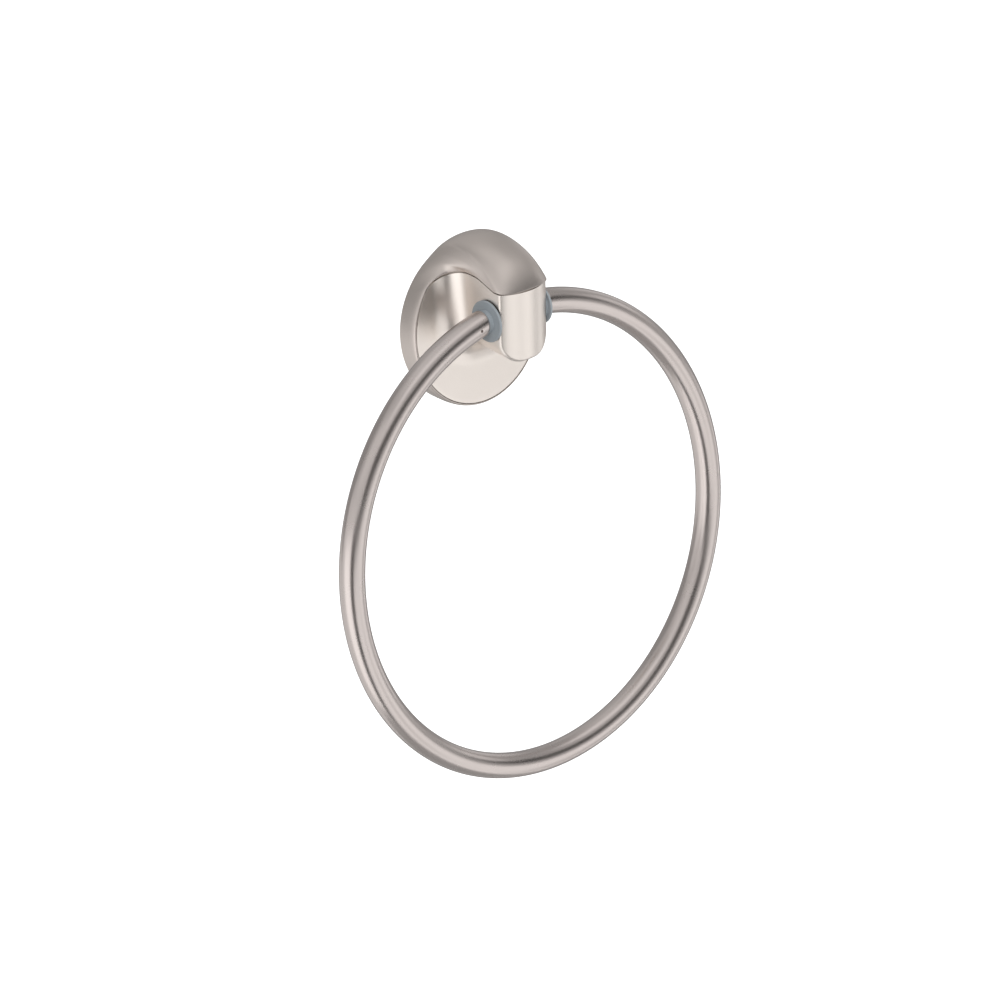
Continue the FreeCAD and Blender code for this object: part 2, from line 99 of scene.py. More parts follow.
class TowelRingColours(bpy.types.PropertyGroup):
    hood: colour("Hood", "Darker satin nickel of the hooded drum", "CEC5BF")
    post: colour("Post", "Brighter satin nickel of the post", "E7DFD8")
    ring: colour("Ring", "Satin nickel of the tube", "C8BFBB")
    bush: colour("Bush", "Blue-grey nylon", "8E959A")
    steel: colour("Steel", "Bare turned steel", "B9B9BA")
    zinc: colour("Zinc", "Zinc plated sheet", "B4B8BB")


class TowelRingStudio(bpy.types.PropertyGroup):
    key_power: FloatProperty(name="Key light", description="Power of the large light",
                             default=26.0, min=0.0, unit="POWER")
    fill_power: FloatProperty(name="Fill light", description="Power of the smaller light",
                              default=8.0, min=0.0, unit="POWER")
    floor_colour: colour("Floor", "Plain floor", "F4F4F4")


# Mesh helpers

def at(x, depth, z):
    """Points as one array, from their place to the right, in front of the wall and up, in
    millimetres. The result is in metres, with the depth turned into -Y."""
    x, depth, z = np.broadcast_arrays(x, depth, z)
    return np.stack([x, -depth, z], axis=-1) * MM


def grid_faces(rows, columns, start=0):
    """Quads over a grid of points that are numbered row by row from a start."""
    corner = np.arange(rows - 1)[:, None] * columns + np.arange(columns - 1)[None]
    quads = np.stack([corner, corner + 1, corner + columns + 1, corner + columns], -1)
    return quads.reshape(-1, 4) + start


def new_object(name, mesh):
    """An object at the origin that shows a mesh in the scene."""
    made = bpy.data.objects.new(name, mesh)
    bpy.context.scene.collection.objects.link(made)
    return made


def piece_from(name, sheets, node, material, body="base"):
    """One object from several sheets of points, each an array of rows and columns. Their common
    edges are merged, poles close to a point, and faces are turned outwards."""
    verts, faces, start = [], [], 0
    for sheet in sheets:
        rows, columns = sheet.shape[:2]
        verts.append(sheet.reshape(-1, 3))
        faces.append(grid_faces(rows, columns, start))
        start += rows * columns
    mesh = bpy.data.meshes.new(name)
    mesh.from_pydata(np.concatenate(verts).tolist(), [], np.concatenate(faces).tolist())
    work = bmesh.new()
    work.from_mesh(mesh)
    bmesh.ops.remove_doubles(work, verts=work.verts, dist=2e-6)
    bmesh.ops.dissolve_degenerate(work, edges=work.edges, dist=1e-7)
    bmesh.ops.recalc_face_normals(work, faces=work.faces)
    work.to_mesh(mesh)
    work.free()
    mesh.polygons.foreach_set("use_smooth", np.ones(len(mesh.polygons), bool))
    mesh.set_sharp_from_angle(angle=math.radians(SHARP_ANGLE))
    mesh.update()
    mesh.materials.append(material)
    piece = new_object(name, mesh)
    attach(piece, body)
    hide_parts(node)
    return piece


def smooth_run(place, at_places, values, odd=False):
    """Reads rows of values between places: cubic pieces whose slope at a place is the harmonic
    mean of the steps on its two sides, so they never overshoot. Level at both ends, or keeping
    its course there if odd."""
    p, v = np.asarray(at_places, float), np.asarray(values, float)
    step = np.diff(v) / np.diff(p)
    before, after = step[:-1], step[1:]
    turn = before * after > 0
    inner = np.where(turn, 2 * before * after / np.where(turn, before + after, 1.0), 0.0)
    slope = np.concatenate([[step[0] if odd else 0.0], inner, [step[-1] if odd else 0.0]])
    place = np.clip(place, p[0], p[-1])
    k = np.clip(np.searchsorted(p, place, side="left") - 1, 0, len(p) - 2)
    width = p[k + 1] - p[k]
    t = (place - p[k]) / width
    return ((2 * t ** 3 - 3 * t ** 2 + 1) * v[k] + (3 * t ** 2 - 2 * t ** 3) * v[k + 1]
            + (t ** 3 - 2 * t ** 2 + t) * slope[k] * width
            + (t ** 3 - t ** 2) * slope[k + 1] * width)


# Shape of the hooded drum, in millimetres

# Angles about the drum's axis, in degrees from the right: where the hood leaves the round band,
# where its edge has passed the cove, where it turns into the beak's lip, and its crown.
START, COVE, CORNER, CROWN = 36.0, 36.0 + 54 * 0.407, 36.0 + 54 * 0.741, 90.0
# How far to the side the cove begins, and the depth at which it has turned into the flank, as in
# the solids: from the rim's radius, the face of their plate and the post's half width.
COVE_SIDE = 24.6 * math.cos(math.radians(START)) - 2.4
ROOT = 6.9 + COVE_SIDE - 9.0
# The beak: half its width, the depth of its corner and how far its lip bulges past that, the
# height of the corner and of the tip, and the power that makes the lip's ellipse boxy.
BEAK = {"half": 9.66, "corner": 28.37, "bulge": 4.94, "low": 16.3, "tip": 15.65, "box": 0.8}
# The hood's edge: its height at the post's root, and half the width and the foot of its arch.
EDGE_TOP, ARCH_HALF, ARCH_MIDDLE = 20.5, 25.0, 5.8
PLATE_FACE, FLOOR, LIP_ROUND, SWELL, RIM_DEPTH = 7.4, 4.6, 0.3, 0.4, 7.5
COVE_RADIUS = ROOT - PLATE_FACE
POCKET_RADIUS, POCKET_DEPTH = 19.5, 3.6
HOOD_STEPS, BAND_STEPS, OUTER_LEVELS, INNER_LEVELS, LIP_LEVELS = 181, 361, 61, 17, 6
GRUB_HOLE = {"place": (0, -1.8 * MM, -25 * MM), "radius": 1.5 * MM, "depth": 7 * MM}
# Guide points of the curves at the four angles: how far the first bulges beyond the rim and in
# front of the wall, and how far the second lies outward, ahead and above the edge.
BEND = {
    "out": (0.75, 2.9, 6.7, 7.9), "ahead": (4.0, 3.45, 3.75, 3.85),
    "shoulder_x": (1.0113, 0.8, -1.1, 0.0), "shoulder_ahead": (0.05, 0.0, -8.8, -5.65),
    "shoulder_up": (0.7347, 2.65, 13.35, 16.6), "foot_out": 0.3, "foot_depth": 0.0}
INNER_BEND = {
    "out": (0.0, 1.5, 5.3, 6.5), "ahead": (5.2, 5.6, 6.2, 6.2),
    "shoulder_x": (0.0, 0.4, -1.1, 0.0), "shoulder_ahead": (-1.0, -0.8, -8.5, -5.55),
    "shoulder_up": (0.0, 1.5, 12.0, 15.1), "foot_out": 0.0, "foot_depth": FLOOR}


def arch_height(x):
    """Height of the hood's edge seen from the front: a flat half ellipse."""
    rise = (EDGE_TOP - ARCH_MIDDLE) / math.sqrt(1 - (BEAK["half"] / ARCH_HALF) ** 2)
    return ARCH_MIDDLE + rise * np.sqrt(np.clip(1 - (x / ARCH_HALF) ** 2, 0, None))


def side_height(depth):
    """Height of the hood's edge seen from the side: a smooth fall from the root of the post to
    the beak's corner, and a straight one from there to its tip."""
    out = BEAK["corner"] - ROOT
    places = [ROOT, ROOT + out / 3, ROOT + out * 3 / 4, BEAK["corner"]]
    falls = [EDGE_TOP, EDGE_TOP - 0.6, EDGE_TOP - 2.95, BEAK["low"]]
    beyond = np.clip(depth - BEAK["corner"], 0, None) / BEAK["bulge"]
    return smooth_run(depth, places, falls) - (BEAK["low"] - BEAK["tip"]) * beyond


def hood_edge(angle, inset, rim):
    """Lower edge of the hood for angles about the drum's axis, as (x, depth, height). In plan it
    runs level along the drum's face, round a quarter circle, straight out along the post's side
    and round a quarter of a boxy ellipse to the beak's tip, whose cosine and sine are raised to
    a power under 1; an inset moves it square to that line."""
    turn_radius = COVE_SIDE - BEAK["half"]
    rim_x, rim_z = rim * math.cos(math.radians(START)), rim * math.sin(math.radians(START))
    lip = 1.2 * BEAK["half"]
    runs = [rim_x - COVE_SIDE, turn_radius * math.pi / 2, BEAK["corner"] - ROOT, lip]
    ends = np.cumsum(runs)
    run = smooth_run(angle, [START, COVE, CORNER, CROWN], [0, ends[1], ends[2], ends[3]], odd=True)
    first, second, third = run <= ends[0], run <= ends[1], run <= ends[2]
    share = run / runs[0]
    sweep = np.clip((run - ends[0]) / turn_radius, 0, math.pi / 2)
    round_beak = np.clip((run - ends[2]) / runs[3], 0, 1) * math.pi / 2
    cosine, sine = np.cos(round_beak), np.abs(np.sin(round_beak))
    across = cosine ** (2 - BEAK["box"]) / BEAK["half"]
    ahead = sine ** (2 - BEAK["box"]) / BEAK["bulge"]
    size = np.hypot(across, ahead)
    x = np.select([first, second, third], [
        rim_x - run, COVE_SIDE - turn_radius * np.sin(sweep), np.full_like(run, BEAK["half"])],
        BEAK["half"] * cosine ** BEAK["box"])
    depth = np.select([first, second, third], [
        RIM_DEPTH + (ROOT - turn_radius - RIM_DEPTH) * share, ROOT - turn_radius * np.cos(sweep),
        ROOT + run - ends[1]], BEAK["corner"] + BEAK["bulge"] * sine ** BEAK["box"])
    nx = np.select([first, second, third], [0 * run, np.sin(sweep), 0 * run + 1], across / size)
    nd = np.select([first, second, third], [0 * run + 1, np.cos(sweep), 0 * run], ahead / size)
    x_in, depth_in = x - inset * nx, depth - inset * nd
    height = np.minimum(arch_height(x_in), side_height(depth_in))
    fall = np.clip(1 - share, 0, 1) ** 2
    height = height - np.where(first, (arch_height(x + run) - rim_z) * fall, 0.0)
    return x_in, depth_in, height


def hood_sheet(inset, rim, bend, levels):
    """Skin of the hood's right half as a sheet. At each angle it is a cubic Bezier curve from
    the foot on the drum over two guide points to the lower edge."""
    angle = START + (CROWN - START) * np.linspace(0, 1, HOOD_STEPS)
    stations = [START, COVE, CORNER, CROWN]
    side, up = np.cos(np.radians(angle)), np.sin(np.radians(angle))
    low = math.sin(math.radians(START))
    swell = SWELL * ((up - low) / (1 - low)) ** 2 if not inset else 0.0
    foot = rim + bend["foot_out"] + swell
    belly = rim + smooth_run(angle, stations, bend["out"])
    x, ahead, z = hood_edge(angle, inset, rim)
    guides = [
        at(foot * side, bend["foot_depth"], foot * up),
        at(belly * side, smooth_run(angle, stations, bend["ahead"]), belly * up),
        at(x + smooth_run(angle, stations, bend["shoulder_x"], odd=True),
           ahead + smooth_run(angle, stations, bend["shoulder_ahead"]),
           z + smooth_run(angle, stations, bend["shoulder_up"])),
        at(x, ahead, z)]
    return bezier_sheet(guides, levels)


def bezier_sheet(guides, levels):
    """A sheet whose columns run along cubic Bezier curves through rows of four guide points. They
    stop short of their last point by the lip's rounding, and that point is one more row."""
    short = LIP_ROUND * MM / (3 * np.linalg.norm(guides[3] - guides[2], axis=1))
    v = np.linspace(0, 1, levels)[:, None, None] * (1 - short)[None, :, None]
    weights = [(1 - v) ** 3, 3 * v * (1 - v) ** 2, 3 * v ** 2 * (1 - v), v ** 3]
    return np.concatenate([sum(w * g[None] for w, g in zip(weights, guides)), guides[3][None]])


def rounded_lip(skin_end, corner, inner_end):
    """The hood's lower edge: a parabola from the outer skin's end to the edge's face, with the
    corner as its guide point, and straight on from there to the inner skin."""
    inward = inner_end - corner
    face = corner + inward / np.linalg.norm(inward, axis=1, keepdims=True) * LIP_ROUND * MM
    t = np.linspace(0, 1, LIP_LEVELS)[:, None, None]
    arc = (1 - t) ** 2 * skin_end + 2 * t * (1 - t) * corner + t ** 2 * face
    return np.concatenate([arc, inner_end[None]])


def mirrored(sheet):
    """The sheet on the other side of the plane X = 0."""
    return sheet * np.array([-1.0, 1.0, 1.0])


def ruled(first, last, levels=2):
    """A sheet of straight lines between two rows of points."""
    v = np.linspace(0, 1, levels)[:, None, None]
    return (1 - v) * first[None] + v * last[None]


def band_sheet(hood, angles):
    """The round part of the drum's skin: the hood's first column turned about the axis."""
    column = hood[:, 0]
    radius = np.hypot(column[:, 0], column[:, 2])[:, None]
    a = np.radians(angles)[None]
    return np.stack([radius * np.cos(a), np.repeat(column[:, 1][:, None], a.size, 1),
                     radius * np.sin(a)], -1)


def drum_sheets(sizes):
    """All sheets of the hooded drum: outer skin, lower edge, inner skin, floor, back and the
    pocket behind the floor, each with a right half, a left half and a round band."""
    rim, skin = sizes.rim_radius / MM, sizes.skin / MM
    outer = hood_sheet(0.0, rim, BEND, OUTER_LEVELS)
    inner = hood_sheet(skin, rim, INNER_BEND, INNER_LEVELS)
    below = np.linspace(START, 2 * CROWN - START - 360, BAND_STEPS)
    skins = ((outer, inner), (mirrored(outer), mirrored(inner)),
             (band_sheet(outer, below), band_sheet(inner, below)))
    sheets = []
    for out, ins in skins:
        sheets += [out[:-1], rounded_lip(out[-2], out[-1], ins[-1]), ins]
        foot, floor_rim = out[0], ins[0]
        pocket = foot * np.array([1, 0, 1])
        pocket = pocket / np.linalg.norm(pocket, axis=1, keepdims=True) * POCKET_RADIUS * MM
        deep = pocket - np.array([0, POCKET_DEPTH * MM, 0])
        sheets += [ruled(foot, pocket, 3), ruled(pocket, deep), ruled(deep, deep * [0, 1, 0], 6),
                   ruled(floor_rim, floor_rim * [0, 1, 0], 6)]
    return sheets


# Shape of the post, in millimetres

# The post: the radius of its lower corners, the height and slope of its underside, the depth and
# radius of its nose, the rounding of the nose's and the plate's edge, how far it leans for each
# millimetre above a height, the width that polishing adds, and the groove under the hood's edge
# with the ledge and the tongue behind it.
POST = {"corner": 7.0, "bottom": -1.3, "slope": 0.2, "nose": 32.1, "nose_radius": 15.0,
        "nose_round": 1.3, "lean": 0.11, "lean_height": 6.8, "edge_round": 0.12,
        "polish": 0.4, "groove": 0.45, "ledge": 1.15, "tongue": 1.3}
FLANK_COLUMNS, CORNER_COLUMNS, BOTTOM_COLUMNS = 40, 48, 12
ROWS = {"plate": 10, "cove": 45, "side": 26, "edge": 21, "front": 22, "cap": 9, "fade": 8}


def post_outline():
    """Stations of the post's half outline: its share down the flank, the angle that it faces
    below the horizontal, and the share of the flat underside still ahead of it."""
    down = np.linspace(0, 1, FLANK_COLUMNS)
    turn = np.linspace(0, math.pi / 2, CORNER_COLUMNS + 1)[1:]
    flat = np.linspace(1, 0, BOTTOM_COLUMNS + 1)[1:]
    share = np.concatenate([down, np.ones(CORNER_COLUMNS + BOTTOM_COLUMNS)])
    angle = np.concatenate([0 * down, turn, np.full(BOTTOM_COLUMNS, math.pi / 2)])
    ahead = np.concatenate([np.ones(FLANK_COLUMNS + CORNER_COLUMNS), flat])
    return share, angle, ahead


def post_centres(half, angle, ahead, offset, depth):
    """Points off the post's side by an offset and at a depth, as rows of (x, depth, height). The
    outline is a flank, a quarter circle and a flat underside that slopes down to the front."""
    x = (half - POST["corner"]) * ahead + (POST["corner"] + offset) * np.cos(angle)
    middle = POST["bottom"] - POST["slope"] * depth + POST["corner"]
    return np.stack([x, depth + 0 * x, middle - (POST["corner"] + offset) * np.sin(angle)], -1)


def rolled(centre, first, last, radius, count):
    """Rows of points on a ball that rolls along centres, swung from one direction to another at
    an even rate."""
    between = np.arccos(np.clip(np.sum(first * last, -1), -1, 1))[:, None]
    t = np.linspace(0, 1, count)[:, None, None]
    swing = (np.sin((1 - t) * between) * first + np.sin(t * between) * last) / np.sin(between)
    return centre[None] + radius * swing


def post_sheets(sizes):
    """The post and its plate. Each column runs from the middle of the plate's back over its
    edge, round the cove, along the post's side and round its nose to the middle of its front.
    The cove and the nose's edge are balls rolled between their two faces."""
    seam, rim = sizes.seam / MM, sizes.rim_radius / MM
    half, slope = sizes.post_half_width / MM + POST["polish"], POST["slope"]
    share, angle, ahead = post_outline()
    grade = np.sqrt(1 + (slope * np.sin(angle)) ** 2)
    outward = np.stack([np.cos(angle), -slope * np.sin(angle), -np.sin(angle)], -1) / grade[:, None]
    flank = np.arange(FLANK_COLUMNS)

    def trimmed(rows):
        """Spreads each row's flank evenly between the hood's edge and the corner's start."""
        start = rows[:, FLANK_COLUMNS - 1:FLANK_COLUMNS, 2]
        x, depth = rows[:, flank, 0], rows[:, flank, 1]
        top = np.minimum(arch_height(x), side_height(depth)) - POST["groove"]
        rows[:, flank, 2] = top + (start - top) * share[None, flank]
        return rows

    def leant(rows):
        """Slides points along the post by how far they are above the pivot, so that its front
        leans forward."""
        slide = POST["lean"] * (rows[..., 2] - POST["lean_height"])
        return trimmed(rows + np.stack([0 * slide, slide, -slope * slide], -1))

    centre = post_centres(half, angle, ahead, COVE_RADIUS * grade, ROOT)
    toward_plate = np.broadcast_to([0.0, -1.0, 0.0], centre.shape)
    cove = trimmed(rolled(centre, toward_plate, -outward, COVE_RADIUS, ROWS["cove"]))

    ball, axis = POST["nose_round"], POST["nose"] - POST["nose_radius"]
    inner = POST["nose_radius"] - ball
    x = post_centres(half, angle, ahead, -ball * grade, 0.0)[:, 0]
    depth = axis + np.sqrt(inner ** 2 - x ** 2)
    centre = post_centres(half, angle, ahead, -ball * grade, depth)
    toward_front = np.stack([x / inner, (depth - axis) / inner, 0 * x], -1)
    edge = trimmed(rolled(centre, outward, toward_front, ball, ROWS["edge"]))
    last = edge[-1]
    edge = leant(edge)
    side = trimmed(ruled(cove[-1], edge[0], ROWS["side"])[1:-1])

    t = np.linspace(0, 1, ROWS["front"])[1:, None]
    x = last[None, :, 0] * (1 - t)
    z = last[None, :, 2] + (last[FLANK_COLUMNS - 1, 2] - last[None, :, 2]) * t
    front = trimmed(np.stack([x, axis + np.sqrt(POST["nose_radius"] ** 2 - x ** 2), z], -1))
    front = leant(front)

    reach = np.hypot(cove[0][:, 0], cove[0][:, 2])[:, None]
    way = np.stack([cove[0][:, 0], cove[0][:, 2]], -1) / reach
    small, out = POST["edge_round"], rim - seam
    swing = np.radians(np.linspace(0, 90, 6))
    profile = [(0.0, FLOOR), (out * 0.5, FLOOR), (out, FLOOR)]
    profile += [(out - small * (1 - math.cos(a)), PLATE_FACE - small * (1 - math.sin(a)))
                for a in swing]
    circles = np.array([np.stack([r * way[:, 0], d + 0 * way[:, 0], r * way[:, 1]], -1)
                        for r, d in profile])
    plate = ruled(circles[-1], cove[0], ROWS["plate"])[1:-1]

    right = np.concatenate([circles, plate, cove, side, edge, front])
    right = at(right[..., 0], right[..., 1], right[..., 2])
    tops = groove_sheets(right[:, 0], len(circles))
    return [right, mirrored(right)] + tops


def groove_sheets(rim_line, level_rows):
    """Closes the post's top under the hood's edge: a ledge that runs inward, square to the top
    line in plan, a tongue that rises from it inside the hood's skin, so that nothing is seen
    through the groove, and a cover between the two sides. On the plate there is no ledge, and
    the tongue fades in behind the rim."""
    along = np.gradient(rim_line, axis=0)
    inward = np.stack([along[:, 1], -along[:, 0], 0 * along[:, 0]], -1)
    inward = inward / np.linalg.norm(inward, axis=1, keepdims=True).clip(1e-12)
    inward[:level_rows + ROWS["fade"]] = 0.0
    ledge = rim_line + inward * POST["ledge"] * MM
    ledge[:, 0] = ledge[:, 0].clip(0)
    rise = np.clip((np.arange(len(ledge)) - level_rows) / ROWS["fade"], 0, 1)[:, None]
    tongue = ledge + rise * np.array([0.0, 0.0, POST["tongue"] * MM])
    step = np.stack([rim_line, ledge, tongue], 1)
    cap = np.swapaxes(ruled(tongue, mirrored(tongue), ROWS["cap"]), 0, 1)
    return [step, mirrored(step), cap]


# Shape of the ring and its bushes, in millimetres

RING_STEPS, END_ROUND, BORE_SHOWN = 721, 0.3, 3.0
LOCK_HOLE = {"side": -15.7 * MM, "height": 5.93 * MM, "radius": 0.45 * MM, "depth": 1.0 * MM}
BUSH = {"hub": 3.6, "shoulder": 5.3, "barrel": 4.7, "bore": 2.55, "barrel_length": 5.4}


def ring_sheets(sizes):
    """The ring: a circle of tube carried round its centre line and cut off square to the
    pivot's axis at both ends, each end with a small rounded edge, its face and the bore."""
    tube, bore = sizes.tube_diameter / MM / 2, sizes.tube_diameter / MM / 2 - sizes.tube_wall / MM
    radius = sizes.ring_diameter / MM / 2 - tube
    end = (sizes.post_half_width + sizes.shoulder_length + sizes.flange_thickness
           + sizes.hub_length + sizes.end_gap) / MM
    centre = sizes.pivot_height / MM - math.sqrt(radius ** 2 - end ** 2)
    around = np.linspace(0, 2 * math.pi, ROUND_POINTS)[None]

    def torus(section, cut, run):
        """Points of a tube of a section radius, where run goes from -1 at the left end over 0
        at the bottom to 1 at the right end, and both ends lie at a distance from the middle."""
        out = radius + section * np.cos(around)
        half_gap = np.arcsin(cut / out)
        turn = math.pi + run * (math.pi - half_gap)
        return at(-out * np.sin(turn), sizes.pivot_depth / MM + section * np.sin(around),
                  centre + out * np.cos(turn))

    small = END_ROUND
    roll = np.radians(np.linspace(0, 90, 6))
    sheets = [torus(tube, end + small, np.linspace(-1, 1, RING_STEPS)[:, None])]
    for sign in (-1, 1):
        last = np.full((1, 1), float(sign))
        rows = [torus(tube - small * (1 - math.cos(a)), end + small * (1 - math.sin(a)), last)[0]
                for a in roll]
        rows += [torus(bore, end, last)[0], torus(bore, end + BORE_SHOWN, last)[0]]
        rows.append(np.repeat(rows[-1].mean(0, keepdims=True), around.size, 0))
        sheets.append(np.array(rows))
    return sheets


def rounded_corner(x, radius, size, turn):
    """Points of a quarter circle that rounds an outer corner of a turned profile, from the
    face that looks along the axis (turn 1) or onto it (turn -1)."""
    a = np.radians(np.linspace(0, 90, 7))
    points = [(x - size * (1 - math.cos(t)), radius - size * (1 - math.sin(t))) for t in a]
    return points if turn > 0 else [(2 * x - px, pr) for px, pr in points[::-1]]


def bush_sheet(sizes, sign):
    """A bush: a profile of distance from the middle and radius, turned about the pivot's axis.
    It has the hub, the flange and the shoulder outside the post, and the barrel inside."""
    seat = sizes.post_half_width / MM
    back = seat + sizes.shoulder_length / MM
    face = back + sizes.flange_thickness / MM
    end = face + sizes.hub_length / MM
    flange = sizes.flange_diameter / MM / 2
    hub, shoulder, barrel, bore = (BUSH[k] for k in ("hub", "shoulder", "barrel", "bore"))
    inside = seat - BUSH["barrel_length"]
    profile = [(seat, bore), (end - 0.1, bore), (end, bore + 0.1)]
    profile += rounded_corner(end, hub, 0.15, 1)
    profile += [(face + 0.12, hub), (face + 0.03, hub + 0.04), (face, hub + 0.13)]
    profile += rounded_corner(face, flange, 0.3, 1) + rounded_corner(back, flange, 0.12, -1)
    profile += [(back, shoulder), (seat, shoulder), (seat, barrel), (inside, barrel),
                (inside, bore), (seat, bore)]
    x, radius = (np.array(c)[:, None] for c in zip(*profile))
    a = np.linspace(0, 2 * math.pi, ROUND_POINTS)[None]
    return at(sign * x + 0 * a, sizes.pivot_depth / MM + radius * np.sin(a),
              sizes.pivot_height / MM + radius * np.cos(a))


# Materials

def node(tree, kind, settings=(), links=()):
    """Adds a shader node, sets its properties or input values by name, and links its inputs."""
    made = tree.nodes.new(kind)
    for key, value in dict(settings).items():
        if hasattr(made, key) and not key[0].isupper():
            setattr(made, key, value)
        else:
            made.inputs[key].default_value = value
    for key, source in dict(links).items():
        tree.links.new(source, made.inputs[key])
    return made


def new_material(name):
    """An empty node material with its output and a Principled shader."""
    material = bpy.data.materials.new(name)
    material.use_nodes = True
    tree = material.node_tree
    tree.nodes.clear()
    shader = node(tree, "ShaderNodeBsdfPrincipled")
    node(tree, "ShaderNodeOutputMaterial", links={"Surface": shader.outputs["BSDF"]})
    return material, tree, shader


CLOUD_MM = 9.0
# Real blasting leaves a grain of about 0.05 mm, too fine to show, so it is drawn coarser.
GRAIN_MM = 0.30


def satin_metal(name, tint, roughness, grain_depth_mm, cloud, grain_mm=GRAIN_MM):
    """Plated or bare metal with a fine grain that scatters the reflections into soft bands, and
    faint clouds in colour and gloss that keep the large faces from looking drawn."""
    material, tree, shader = new_material(name)
    place = node(tree, "ShaderNodeTexCoord").outputs["Object"]
    clouds = node(tree, "ShaderNodeTexNoise", {"Scale": 1 / (CLOUD_MM * MM), "Detail": 3.0},
                  {"Vector": place}).outputs["Fac"]
    grain = node(tree, "ShaderNodeTexNoise", {"Scale": 1 / (grain_mm * MM), "Detail": 2.0},
                 {"Vector": place}).outputs["Fac"]
    shade = node(tree, "ShaderNodeMix", {"data_type": "RGBA"}, {"Factor": clouds})
    shade.inputs["A"].default_value = [c * (1 - cloud) for c in tint[:3]] + [1.0]
    shade.inputs["B"].default_value = [min(1.0, c * (1 + cloud)) for c in tint[:3]] + [1.0]
    tree.links.new(shade.outputs["Result"], shader.inputs["Base Color"])
    gloss = node(tree, "ShaderNodeMapRange", {"To Min": roughness * 0.9, "To Max": roughness * 1.1},
                 {"Value": clouds})
    tree.links.new(gloss.outputs["Result"], shader.inputs["Roughness"])
    bump = node(tree, "ShaderNodeBump", {"Strength": 1.0, "Distance": grain_depth_mm * MM},
                {"Height": grain})
    tree.links.new(bump.outputs["Normal"], shader.inputs["Normal"])
    shader.inputs["Metallic"].default_value = 1.0
    return material


MOULD_GRAIN_MM = 0.35  # a spark-eroded mould's grain, drawn coarse enough to show


def moulded_nylon(name, tint):
    """Injection-moulded nylon: a matt surface with the grain of its mould."""
    material, tree, shader = new_material(name)
    place = node(tree, "ShaderNodeTexCoord").outputs["Object"]
    grain = node(tree, "ShaderNodeTexNoise", {"Scale": 1 / (MOULD_GRAIN_MM * MM), "Detail": 2.0},
                 {"Vector": place}).outputs["Fac"]
    shade = node(tree, "ShaderNodeMix", {"data_type": "RGBA"}, {"Factor": grain})
    shade.inputs["A"].default_value = [c * 0.93 for c in tint[:3]] + [1.0]
    shade.inputs["B"].default_value = [min(1.0, c * 1.07) for c in tint[:3]] + [1.0]
    tree.links.new(shade.outputs["Result"], shader.inputs["Base Color"])
    bump = node(tree, "ShaderNodeBump", {"Strength": 0.6, "Distance": 0.02 * MM}, {"Height": grain})
    tree.links.new(bump.outputs["Normal"], shader.inputs["Normal"])
    shader.inputs["Roughness"].default_value = 0.45
    return material


def drilled(piece, centre, axis, radius, depth):
    """Cuts a round hole into a piece, with a cylinder that is then removed. Round the hole the
    faces are shaded by the normals of the uncut surface, weighed between the corners of the
    nearest face, so it stays as smooth as before."""
    whole = piece.data
    points = [v.co.copy() for v in whole.vertices]
    surface = BVHTree.FromPolygons(points, [tuple(p.vertices) for p in whole.polygons])
    bpy.ops.mesh.primitive_cylinder_add(vertices=48, radius=radius, depth=2 * depth)
    tool = bpy.context.object
    tool.data.transform(Vector(axis).to_track_quat("Z", "Y").to_matrix().to_4x4())
    tool.data.transform(Matrix.Translation(centre))
    cut = piece.modifiers.new("hole", "BOOLEAN")
    cut.operation, cut.solver, cut.object = "DIFFERENCE", "EXACT", tool
    graph = bpy.context.evaluated_depsgraph_get()
    mesh = bpy.data.meshes.new_from_object(piece.evaluated_get(graph))
    piece.modifiers.remove(cut)
    bpy.data.objects.remove(tool)
    mesh.set_sharp_from_angle(angle=math.radians(SHARP_ANGLE))
    normals = [corner.vector.copy() for corner in mesh.corner_normals]
    for face in mesh.polygons:
        if (face.center - Vector(centre)).length > 5 * radius + depth:
            continue
        for k in face.loop_indices:
            point = mesh.vertices[mesh.loops[k].vertex_index].co
            near, normal, index, gap = surface.find_nearest(point)
            corners = whole.polygons[index].vertices
            weights = poly_3d_calc([points[n] for n in corners], near)
            smooth = sum((whole.vertices[n].normal * w for n, w in zip(corners, weights)), Vector())
            # Only faces that lie on the old surface, so neither the hole's wall nor the inside.
            if gap < 1e-5 and smooth.normalized().dot(face.normal) > 0.8:
                normals[k] = smooth.normalized()
    mesh.normals_split_custom_set(normals)
    piece.data = mesh


def sizes_of(context):
    """The sizes that the sidebar shows."""
    return context.scene.towel_ring_sizes


def colours_of(context):
    """The colours that the sidebar shows."""
    return context.scene.towel_ring_colours


# Operators

class TOWELRING_OT_hood(bpy.types.Operator):
    """Builds the hooded drum that sits against the wall"""
    bl_idname = "towelring.hood"
    bl_label = "Hooded drum"

    def execute(self, context):
        # The blasted casting is the dullest of the metals: it takes the room in wide, soft
        # fields from brown-grey to pale grey, with no line in them.
        material = satin_metal("Satin nickel, blasted casting", colours_of(context).hood,
                                0.42, 0.0015, 0.02)
        piece = piece_from("hooded_drum", drum_sheets(sizes_of(context)), "cover",
                           material)
        drilled(piece, GRUB_HOLE["place"], (0, 0, 1), GRUB_HOLE["radius"], GRUB_HOLE["depth"])
        return {"FINISHED"}


class TOWELRING_OT_post(bpy.types.Operator):
    """Builds the post with the plate that fills the drum"""
    bl_idname = "towelring.post"
    bl_label = "Post and plate"

    def execute(self, context):
        # The half-polished casting is brighter and a little clearer: near white with a warm
        # tinge, and upright light and dark bands in the cove and down the nose.
        material = satin_metal("Satin nickel, semi-polished casting", colours_of(context).post,
                                0.36, 0.0012, 0.02)
        piece_from("post_and_plate", post_sheets(sizes_of(context)),
                   "post_body", material)
        return {"FINISHED"}


